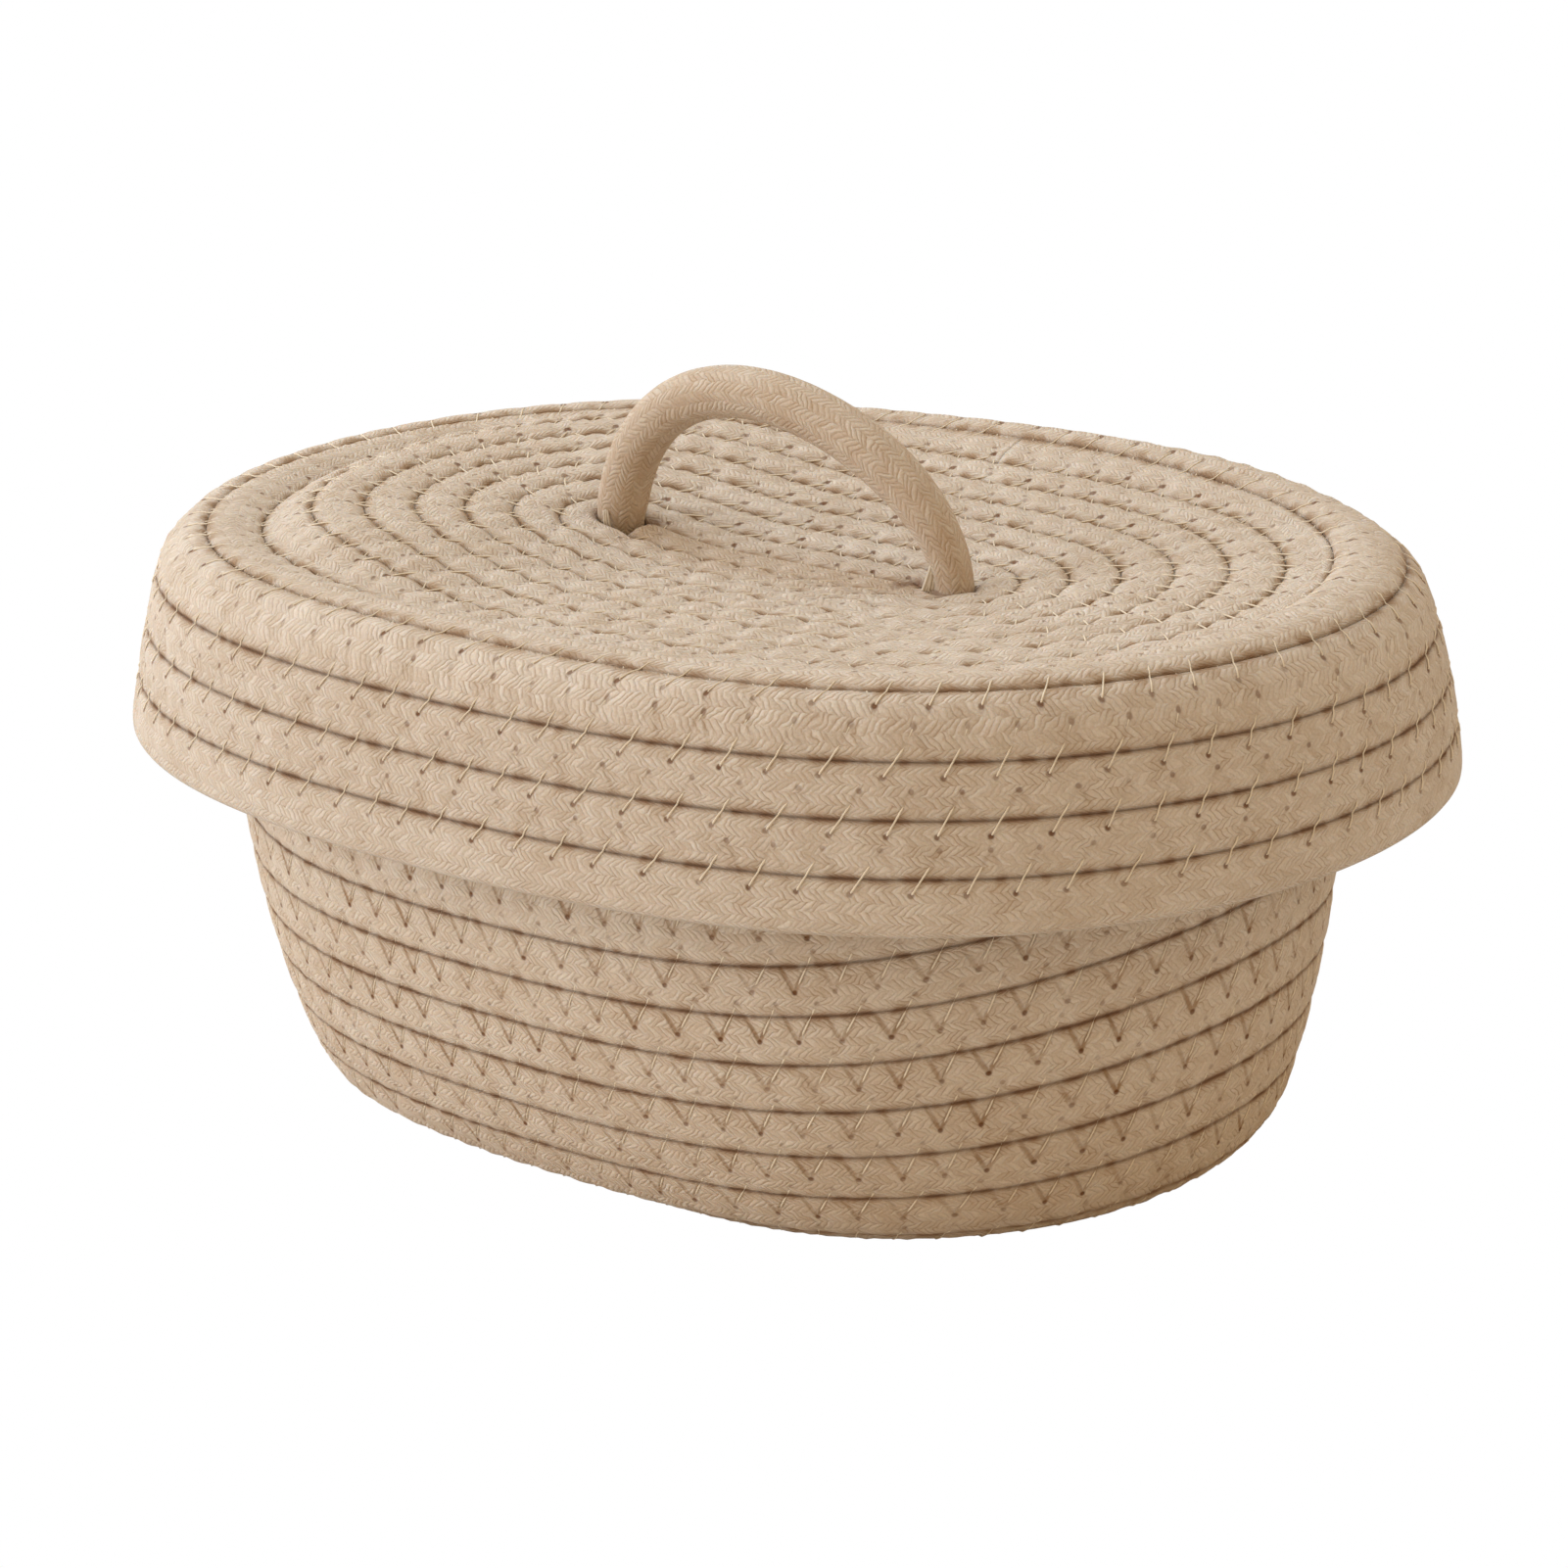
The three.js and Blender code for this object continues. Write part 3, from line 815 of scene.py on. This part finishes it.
@dataclass
class SewnRope:
    """One run of a sewn rope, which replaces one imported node, with the seams that it carries."""

    sheet: SewnSheet
    node: str
    body: str
    slot: str
    first: float
    last: float
    jacket: Material
    thread: Material
    step: float = 1.3
    section: Section = Section()
    end_steps: tuple[float, ...] = (0.0, 0.1, 0.35, 0.75)
    kink_gap: float = 0.03
    puff: float = 0.85
    rim_puff: float = 0.34
    dent_width: float = 1.4
    round_end: float = 2.2
    thread_radius: float = 0.17
    thread_rise: float = 0.12
    far_drop: float = 0.42
    shown_reach: Pair = (0.21, 0.28)
    hidden_reach: Pair = (0.08, 0.16)
    hidden_drop: float = 0.4
    hidden_rise: float = 0.4
    flat_drop: float = 0.3
    bridge_drop: float = 0.9
    hidden_bridge_drop: float = 0.25
    hole_depth: float = 0.7
    hole_reach: float = 0.02

    def stations(self) -> tuple[Array, Array]:
        """Plan angles at equal steps along the rope, closer together at its two own ends.

        Returns:
            The angles and their lengths from the start of the whole rope.
        """
        sheet = self.sheet
        angle = sheet.angles(sheet.first, sheet.last)
        length = sheet.lengths(angle, 0.5)
        start, finish = np.interp([self.first, self.last], angle, length)
        count = math.ceil((finish - start) / self.step)
        at = np.linspace(start, finish, count + 1)
        close = np.array(self.end_steps)
        if self.first == sheet.first:
            at = np.concatenate([start + close, at[2:]])
        if self.last == sheet.last:
            at = np.concatenate([at[:-2], (finish - close)[::-1]])
        kinks = [90 - SIDE_HALF_ANGLE, 90 + SIDE_HALF_ANGLE, sheet.first + 360, sheet.last - 360]
        pairs = np.interp(kinks, angle, length)[:, None] + np.array([-self.kink_gap, self.kink_gap])
        pairs = pairs.ravel()
        at = np.sort(np.concatenate([at, pairs[(pairs > start + 1) & (pairs < finish - 1)]]))
        return np.interp(at, length, angle), at

    def phases(self, angle: Array) -> tuple[Array, Array]:
        """Stitches counted along the outer and the inner seam of each section.

        Args:
            angle: Plan angles in degrees.

        Returns:
            Both counts, with NO_SEAM where the rope has no such seam.
        """
        dense, count = self.sheet.stitch_count()
        outer, inner = (np.interp(at, dense, count, NO_SEAM, NO_SEAM) for at in (angle, angle - 360))
        in_core = np.abs(angle - 90) < SIDE_HALF_ANGLE
        return outer, np.where(in_core, self.sheet.core_count(angle), inner)

    def pull(self, angle: Array, share: Array) -> Array:
        """Depth to which a thread is pulled in, less past the sheet's flat part."""
        return self.puff + (self.rim_puff - self.puff) * self.sheet.outside(angle, share)

    def dent(self, angle: Array, share: Array, outer: Array, inner: Array) -> Array:
        """Depth by which the threads pull the jacket in: a bell curve of the distance to a leg.

        Args:
            angle: Plan angles in degrees.
            share: Shares across the sheet.
            outer: Stitches counted along the outer seam.
            inner: Stitches counted along the inner seam.

        Returns:
            The depth in millimetres.
        """
        depth = np.zeros(np.broadcast_shapes(share.shape, outer.shape))
        for phase, across in ((outer, share - 1), (inner, share)):
            leg = (across - OLD_HOLE) / LEG_SPAN / 2
            apart = (zigzag(phase) - leg) * self.sheet.stitch * LEG_LEAN
            near = np.exp(-((apart / self.dent_width) ** 2)) * (phase > -1)
            depth += near * smooth(leg, -LEG_FADE, 0.0) * smooth(leg, 0.5 + LEG_FADE, 0.5)
        return depth * self.pull(angle, share)

    def jacket_mesh(self) -> Object:
        """Carries the outline along the sheet, dented by the seams and rounded at the rope's ends.

        Returns:
            The rope's object.
        """
        angle, along = self.stations()
        share, offset, way = self.section.outline()
        angle, outer, inner = (values[:, None] for values in (angle, *self.phases(angle)))
        depth = self.dent(angle, share, outer, inner) * np.abs(offset) ** 0.5
        scale = np.ones(len(along))
        if self.first == self.sheet.first:
            scale *= rounded(along - along[0], self.round_end)
        if self.last == self.sheet.last:
            scale *= rounded(along[-1] - along, self.round_end)
        wide = 0.5 + (share - 0.5) * scale[:, None]
        upright = self.sheet.upright(angle, share)
        thick = self.section.filled(offset, upright) * (HALF_ROPE - depth) * scale[:, None]
        rings = self.sheet.point(angle, wide, thick)
        made = tubes(self.node.replace("_coil", "_rope"), rings[None], self.jacket)
        add_braid_map(made, along, way)
        numbers = {
            "share": share,
            "upright": upright,
            "outer_phase": outer,
            "inner_phase": inner,
            # Painted shadow round the handle's feet.
            "foot_shadow": self.sheet.foot_shadow(rings),
        }
        for name, values in numbers.items():
            add_numbers(made, name, np.broadcast_to(values, rings.shape[:2]))
        return made

    def stitch_mesh(self, face: Face) -> Object:
        """Lays a thread over one face for every leg of the zigzag between this run and the next turn.

        Each leg runs from a hole in the old turn to one in the new turn, or back. It crosses the
        seam as a bridge and sinks into the rope away from it, where only every second leg shows.

        Args:
            face: The face of the sheet.

        Returns:
            The threads' object.
        """
        sheet = self.sheet
        dense, count = sheet.stitch_count()
        low, high = np.interp([self.first, min(self.last, sheet.last - 360)], dense, count)
        legs = np.arange(math.ceil(2 * low), math.floor(2 * high))[:, None]
        forward, across = self.leg_places(legs)
        angle = np.interp((legs + forward) / 2, count, dense) + 360 * (across > 0)
        share = np.where(across > 0, across, 1 + across)
        if self.first == sheet.first:
            core = np.arange(1, math.floor(4 * sheet.core_half / sheet.stitch) - 1)[:, None]
            forward, beyond = self.leg_places(core)
            turn = SIDE_HALF_ANGLE * ((core + forward) / 2 * sheet.stitch / sheet.core_half - 1)
            angle = np.concatenate([angle, np.where(beyond > 0, 90 - turn, turn - 90)])
            share = np.concatenate([share, np.abs(beyond)])
            across = np.concatenate([across, beyond])
            legs = np.concatenate([legs, core])
        lie = self.lie(angle, share, across, np.where(legs % 2 == sheet.shown_leg, 1.0, 0.0))
        path, over, under = (sheet.point(angle, share, face.value * (lie + d)) for d in (0, 0.1, -0.1))
        name = f"{self.node.replace('_coil', '')}_stitches_{face.name.lower()}"
        return self.threads(path, over - under, name)

    @staticmethod
    def leg_places(legs: Array) -> tuple[Array, Array]:
        """Points of legs that run out and back in turn: shares of the way along, and places across."""
        part = np.where(legs % 2 == 0, LEG_POINTS, LEG_POINTS[::-1])
        return np.where(legs % 2 == 0, part, 1 - part), OLD_HOLE + LEG_SPAN * part

    def lie(self, angle: Array, share: Array, across: Array, shown: Array) -> Array:
        """How far the threads lie from the middle of the sheet.

        It is the rope's crown less the pull, plus a rise that fades far from the seam and is less
        on a leg that hides. A bridge over a seam stays above its own level, and both ends of a leg
        sink into their holes.

        Args:
            angle: Plan angles in degrees.
            share: Shares across the sheet.
            across: Places across the seam, from the old hole to the new one.
            shown: 1 for a leg that shows, 0 for one that hides.

        Returns:
            The offsets in millimetres.
        """
        hidden = 1 - shown
        upright = self.sheet.upright(angle, share)
        beside = np.abs(across - self.sheet.shown_place * shown)
        reach = (np.where(shown > 0, *ends) for ends in zip(self.shown_reach, self.hidden_reach))
        far = smooth(beside, *reach)
        rise = self.thread_rise + self.sheet.rise * upright**2 - self.far_drop * far
        lie = HALF_ROPE * self.section.crown(share, upright) - self.pull(angle, share)
        lie = lie - self.hidden_drop * hidden + rise * np.where(shown > 0, 1.0, self.hidden_rise)
        flat = 1 - self.sheet.outside(angle, share)
        lie = lie - self.flat_drop * flat * smooth(np.abs(across), 0.03, 0.1)
        lie = np.maximum(lie, HALF_ROPE - self.bridge_drop - self.hidden_bridge_drop * hidden)
        at_end = (np.abs(across - OLD_HOLE) < self.hole_reach) | (across > NEW_HOLE - self.hole_reach)
        return np.where(at_end, lie - self.hole_depth, lie)

    def threads(self, path: Array, outward: Array, name: str) -> Object:
        """Wraps four-sided tubes round paths: each ring is the path plus radius times two normals.

        Args:
            path: Array of paths by points by 3.
            outward: Directions away from the sheet at the points.
            name: Name of the object.

        Returns:
            The threads' object.
        """
        tangent = np.gradient(path, axis=1)
        tangent /= np.linalg.norm(tangent, axis=-1, keepdims=True)
        side = np.cross(tangent, outward)
        side /= np.linalg.norm(side, axis=-1, keepdims=True)
        up = np.cross(side, tangent)
        turn = np.radians(np.arange(4) * 90.0)[:, None]
        ring = side[:, :, None] * np.cos(turn) + up[:, :, None] * np.sin(turn)
        rings = path[:, :, None] + self.thread_radius * ring
        rings[..., 2] = np.maximum(rings[..., 2], self.sheet.floor)
        return tubes(name, rings, self.thread)

    def build(self) -> None:
        """Makes the rope and the threads on both of its faces, and hangs them on the frame."""
        rope = self.jacket_mesh()
        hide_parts(self.node)
        for piece in (rope, self.stitch_mesh(Face.UPPER), self.stitch_mesh(Face.LOWER)):
            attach(piece, self.body)
            LOG.info("%s: %d faces", piece.name, len(piece.data.polygons))


@dataclass(frozen=True)
class Tack:
    """A few threads side by side from the lid up a leg of the handle, placed in the lid's own frame."""

    name: str
    foot: Triple
    top: Triple
    apart: Triple
    count: int
    radius: float
    gather: float = 0.55
    uneven: float = 0.35
    bow: Triple = (0.25, -0.3, 0.0)

    def build(self, thread: Material) -> Object:
        """Lays the threads, which gather upward and are bowed by half a wave of the sine.

        Args:
            thread: The threads' material.

        Returns:
            The tack's object.
        """
        share = np.linspace(0, 1, 6)[None, :, None]
        number = np.arange(self.count)[:, None, None]
        lean = self.uneven * np.sin(number * 2.3) * np.array([0.6, 0.6, 1.0])
        shift = number * np.array(self.apart) * (1 - self.gather * share)
        path = np.array(self.foot) + (np.array(self.top) - self.foot + lean) * share + shift
        path = path + np.sin(np.pi * share) * np.array(self.bow)
        turn = np.radians(np.arange(6) * 60.0)[:, None]
        ahead, aside = np.array([[0.75, 0.66, 0.0], [0.66, -0.75, 0.0]])
        ring = self.radius * (np.cos(turn) * ahead + np.sin(turn) * aside)
        return tubes(self.name, path[:, :, None] + ring + LID_PLACE, thread)


@dataclass
class Handle:
    """The third rope: two tails under the lid, two squeezed legs, a lopsided arch and its tacks."""

    jacket: Material
    thread: Material
    plane: float = 2.075
    left_shift: Triple = (2.1, -2.5, 1.2)
    legs: Pair = (-38.6, 40.0)
    leg_radii: Pair = (4.4, 3.6)
    foot: float = 5.05
    tail_height: float = -9.8
    tail_bend: float = 6.5
    tail_length: float = 24.0
    shoulders: tuple[Pair, Pair] = ((7.8, 49.8), (-0.8, 25.2))
    squeeze_rise: float = 0.6
    widening: Pair = (5.0, 22.0)
    underside: float = -4.5
    tail_widening: float = 1.5
    end_steps: tuple[float, ...] = (0.0, 0.15, 0.5, 1.1, 1.9)
    end_lengths: Pair = (2.8, 2.4)
    round_end: float = 2.4
    step: float = 0.9
    sides: int = 32
    tacks: tuple[Tack, ...] = (
        Tack("handle_left_tack", (-35.5, -5.8, 6.4), (-35.8, -5.5, 9.9), (0.3, 0.2, -0.1), 4, 0.2),
        Tack("handle_right_tack", (35.9, -2.0, 4.0), (37.6, -0.8, 9.8), (0.42, 0.36, -0.05), 7, 0.33),
    )

    def line(self) -> Array:
        """Centreline: straight tail, quarter circle, arch on a cubic curve, and the same back again.

        Returns:
            Points with x and z, close together.
        """
        left, right = self.legs
        share = np.linspace(0, 1, 400)[:, None]
        (left_out, left_up), (right_out, right_up) = self.shoulders
        corners = [
            (left, self.foot),
            (left + left_out, self.foot + left_up),
            (right + right_out, self.foot + right_up),
            (right, self.foot),
        ]
        weights = [(1 - share) ** 3, 3 * share * (1 - share) ** 2, 3 * share**2 * (1 - share), share**3]
        arch = sum(weight * np.array(corner) for weight, corner in zip(weights, corners))
        return np.concatenate([self.tail(left, 1.0), arch, self.tail(right, -1.0)[::-1]])

    def tail(self, x: float, inward: float) -> Array:
        """Lays a tail under the lid and the quarter circle up into its leg.

        Args:
            x: Place of the leg.
            inward: 1 for a tail that runs toward plus X, -1 for the other.

        Returns:
            Points with x and z.
        """
        bend = np.radians(np.linspace(0, 90, 60))
        flat = np.linspace(self.tail_length, 0, 60, endpoint=False)
        out = np.concatenate([self.tail_bend + flat, self.tail_bend * (1 - np.sin(bend))])
        up = np.concatenate([np.zeros(60), self.tail_bend * (1 - np.cos(bend))])
        return np.stack([x + inward * out, self.tail_height + up], -1)

    def radius(self, x: Array, z: Array, to_end: Array) -> Array:
        """Radius of the rope: squeezed in the lid, wider above and below, rounded at its cut ends.

        Args:
            x: Places along the long axis.
            z: Heights over the lid's middle plane.
            to_end: Lengths to the nearer end of the rope.

        Returns:
            The radii in millimetres.
        """
        leg = np.where(x < 0, *self.leg_radii)
        top = self.foot + self.squeeze_rise
        above = smooth(z, top, top + np.where(x < 0, *self.widening))
        below = smooth(z, self.underside, self.tail_height + self.tail_widening)
        wide = leg + (HALF_ROPE - leg) * np.maximum(above, below)
        return wide * rounded(to_end, self.round_end)

    def build(self) -> None:
        """Carries a circle along the centreline and hangs the rope and its tacks on the lid."""
        line = self.line()
        length = np.concatenate([[0.0], np.cumsum(np.linalg.norm(np.diff(line, axis=0), axis=-1))])
        keep = np.concatenate([[True], np.diff(length) > TINY])
        line, length = line[keep], length[keep]
        close, total = np.array(self.end_steps), length[-1]
        middle = np.arange(self.end_lengths[0], total - self.end_lengths[1], self.step)
        along = np.concatenate([close, middle, (total - close)[::-1]])
        x, z = (np.interp(along, length, line[:, axis]) for axis in (0, 1))
        slope = np.arctan2(np.gradient(z, along), np.gradient(x, along))
        radius = self.radius(x, z, np.minimum(along, total - along))
        turn = np.linspace(0, 2 * np.pi, self.sides, endpoint=False)
        rise, wide = radius[:, None] * np.cos(turn), radius[:, None] * np.sin(turn)
        x_shift, z_shift = rise * np.sin(slope)[:, None], rise * np.cos(slope)[:, None]
        rings = np.stack([x[:, None] - x_shift, self.plane + wide, z[:, None] + z_shift], -1)
        leftward = np.clip((self.legs[1] - x) / (self.legs[1] - self.legs[0]), 0, 1)[:, None, None]
        rings = rings + leftward * np.array(self.left_shift)
        made = tubes("handle_braided_rope", (rings + LID_PLACE)[None, :, ::-1], self.jacket)
        add_braid_map(made, along, np.linspace(0, 1, self.sides + 1))
        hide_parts("handle_rope")
        for piece in (made, *(tack.build(self.thread) for tack in self.tacks)):
            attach(piece, "lid")
            LOG.info("%s: %d faces", piece.name, len(piece.data.polygons))


@dataclass(frozen=True)
class Lamp:
    """A square soft lamp, with its place and size in metres."""

    name: str
    place: Triple
    size: float
    watts: float
    colour: Triple

    def light(self) -> bpy.types.Light:
        """Makes the lamp's settings."""
        data = bpy.data.lights.new(self.name, "AREA")
        data.size, data.energy, data.color = self.size, self.watts, self.colour
        return data


@dataclass(frozen=True)
class Studio:
    """Pale floor, soft lamps and the camera, which stands where the photograph was taken from.

    The lamps and what they are aimed at are placed in metres, the rest in millimetres.
    """

    ambient: Triple = (0.686, 0.506, 0.311)
    lamps: tuple[Lamp, ...] = (
        Lamp("left_lamp", (-1.25, -1.3, 0.65), 1.0, 19.5, (0.819, 0.904, 1.0)),
        Lamp("top_lamp", (0.0, 0.3, 1.9), 1.2, 11.4, (0.474, 0.76, 1.0)),
        Lamp("upper_left_lamp", (-1.4, 0.1, 1.5), 1.2, 14.6, (0.786, 0.889, 1.0)),
    )
    lamp_aim: Triple = (0.0, 0.0, 0.06)
    camera_place: Triple = (517.76, -592.66, 314.03)
    camera_aim: Triple = (7.62, -8.03, 61.42)
    camera_roll: float = -2.2526
    focal_pixels: float = 4626.88
    picture_pixels: float = 1601.0
    floor_half: float = 12000.0
    floor_shade: float = 0.82

    def hang(self, data: bpy.types.ID, place: Vector, aim: Vector, roll: float = 0.0) -> Object:
        """Puts up a camera or a lamp.

        Args:
            data: The camera's or lamp's settings, which also give its name.
            place: Where it stands, in metres.
            aim: The point that it looks at.
            roll: Turn about its own line of sight, in degrees.

        Returns:
            The linked object.
        """
        made = bpy.data.objects.new(data.name, data)
        bpy.context.scene.collection.objects.link(made)
        turn = (aim - place).to_track_quat("-Z", "Y").to_matrix().to_4x4()
        made.matrix_world = Matrix.Translation(place) @ turn @ Matrix.Rotation(math.radians(roll), 4, "Z")
        return made

    def camera(self) -> None:
        """Sets the lens from the focal length in pixels and puts up the camera."""
        data = bpy.data.cameras.new("photo_camera")
        data.sensor_width = 36.0
        data.lens = self.focal_pixels / self.picture_pixels * data.sensor_width
        data.clip_end = 50.0
        place, aim = Vector(self.camera_place) * MM, Vector(self.camera_aim) * MM
        bpy.context.scene.camera = self.hang(data, place, aim, self.camera_roll)

    def floor(self) -> None:
        """Lays a large pale floor, which is plain white for the camera, as in the cut-out photograph."""
        bench = NodeBench(bpy.data.materials.new("pale_floor"))
        matt = bench.signal("BsdfDiffuse", {0: (*[self.floor_shade] * 3, 1.0)})
        glow = bench.signal("Emission", {0: WHITE, 1: 1.0})
        corners = self.floor_half * np.array([(-1, -1, 0), (1, -1, 0), (1, 1, 0), (-1, 1, 0)])
        mesh_object("floor", corners, [[0, 1, 2, 3]], bench.show_apart(matt, glow))

    def world(self) -> None:
        """Lights the scene from all sides, with a white background for the camera alone."""
        bench = NodeBench(bpy.data.worlds.new("soft_studio"), "OutputWorld")
        dim = bench.signal("Background", {0: (*self.ambient, 1.0), 1: 1.0})
        white = bench.signal("Background", {0: WHITE, 1: 1.0})
        bpy.context.scene.world = bench.show_apart(dim, white)

    def build(self) -> None:
        """Sets up the whole studio."""
        self.world()
        self.floor()
        for lamp in self.lamps:
            self.hang(lamp.light(), Vector(lamp.place), Vector(self.lamp_aim))
        self.camera()
        bpy.context.scene.view_settings.view_transform = "Standard"


def basket_sheet() -> SewnSheet:
    """The basket's sheet: flat on the floor, round the foot, then up the wall."""
    foot = (2 + HALF_ROPE) * math.radians(70)
    arcs = ((58.0, 0.0, 0.0), (foot, 0.0, 70.0), (65.0, 70.0, 90.0))
    return SewnSheet(
        core_half=30.0,
        winding=Winding(((0.0, 8.3), (6.7, 9.9), (7.5, 9.6))),
        meridian=Meridian(arcs, HALF_ROPE - 0.95),
        half_turns=32,
        floor=0.0,
        place=PLAN_SHIFT,
        saddle=Saddle(climb=5.2, widest=60.0, rim=98.0, rim_dip=3.0, foot=1.5),
        nudges=(
            Nudge((105.0, 0.0, 55.0), (40.0, 60.0, 60.0), (-3.6, 0.0, 0.0)),
            Nudge((-105.0, 0.0, 55.0), (40.0, 60.0, 60.0), (1.8, 0.0, 0.0)),
        ),
        stitch=7.3,
        shown_leg=0,
        shown_place=-0.08,
    )


def lid_sheet() -> SewnSheet:
    """The lid's sheet: the sagging top, a lip just inside its edge, the edge and the skirt."""
    edge = (3.25 + HALF_ROPE) * math.radians(96)
    arcs = ((68.119, 4.0, 4.0), (7.0, 4.0, 24.0), (edge, 24.0, -72.0), (36.0, -72.0, -83.0))
    return SewnSheet(
        core_half=33.9,
        winding=Winding(((0.0, 8.3), (7.0, 10.0), (9.0, 9.1))),
        meridian=Meridian(arcs),
        half_turns=25,
        place=tuple(LID_PLACE),
        partings=((-36.1, -0.9, 3.9), (40.0, 2.075, 3.6), (29.8, 1.8, 1.7), (-31.0, 2.1, 1.1)),
        # Painted shadow round the handle's feet and the hollows beside them.
        foot_shadows=(
            (-36.1, -1.5, 4.6, 0.5),
            (40.2, 1.7, 4.2, 0.5),
            (30.4, 1.4, 1.9, 0.85),
            (-31.0, 2.1, 1.2, 0.5),
        ),
        rim_turn=7.8,
        rise=0.18,
        bulge=Bulge(height=5.5, along=(8.0, 60.0), out=(56.0, 71.0)),
        nudges=(
            Nudge((22.0, 80.0, 0.0), (48.0, 9.0, 20.0), (0.0, 0.0, 2.2)),
            Nudge((128.0, 0.0, -38.0), (40.0, 70.0, 22.0), (-5.2, 0.0, 0.0)),
            Nudge((-128.0, 0.0, -17.0), (40.0, 70.0, 24.0), (3.8, 0.0, 0.0)),
        ),
        stitch=8.4,
        shown_leg=1,
        shown_place=0.04,
    )


def main() -> None:
    """Builds the ropes, the handle and the studio."""
    logging.basicConfig(level=logging.INFO, format="%(message)s")
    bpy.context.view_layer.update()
    thread = SewingThread("sewing_thread").material()
    basket, lid = basket_sheet(), lid_sheet()
    basket_cotton = BraidedCotton(
        "basket_cotton",
        basket.stitch,
        old_hole_shade=0.9,
        new_hole_shade=0.4,
        old_groove=0.9,
        new_groove=0.25,
        shown_side=-1.0,
        lit=(217, 203, 187),
        warm=(193, 172, 150),
        crease_shade=(156, 126, 97),
    ).material()
    lid_cotton = BraidedCotton("lid_cotton", lid.stitch).material()
    runs = [
        (basket, "basket_base_coil", "basket", "basket_rope", basket.first, BASKET_CUT, basket_cotton),
        (basket, "basket_wall_coil", "basket", "basket_rope", BASKET_CUT, basket.last, basket_cotton),
        (lid, "lid_top_coil", "lid", "lid_rope", lid.first, LID_CUT, lid_cotton),
        (lid, "lid_skirt_coil", "lid", "lid_rope", LID_CUT, lid.last, lid_cotton),
    ]
    for run in runs:
        SewnRope(*run, thread).build()
    tack_thread = SewingThread("tack_thread", colour=(232, 222, 206)).material()
    handle_looks = BraidedCotton("handle_cotton", lit=(210, 197, 182), warm=(186, 164, 142), columns=16)
    Handle(handle_looks.material(), tack_thread).build()
    Studio().build()


if __name__ == "__main__":
    main()
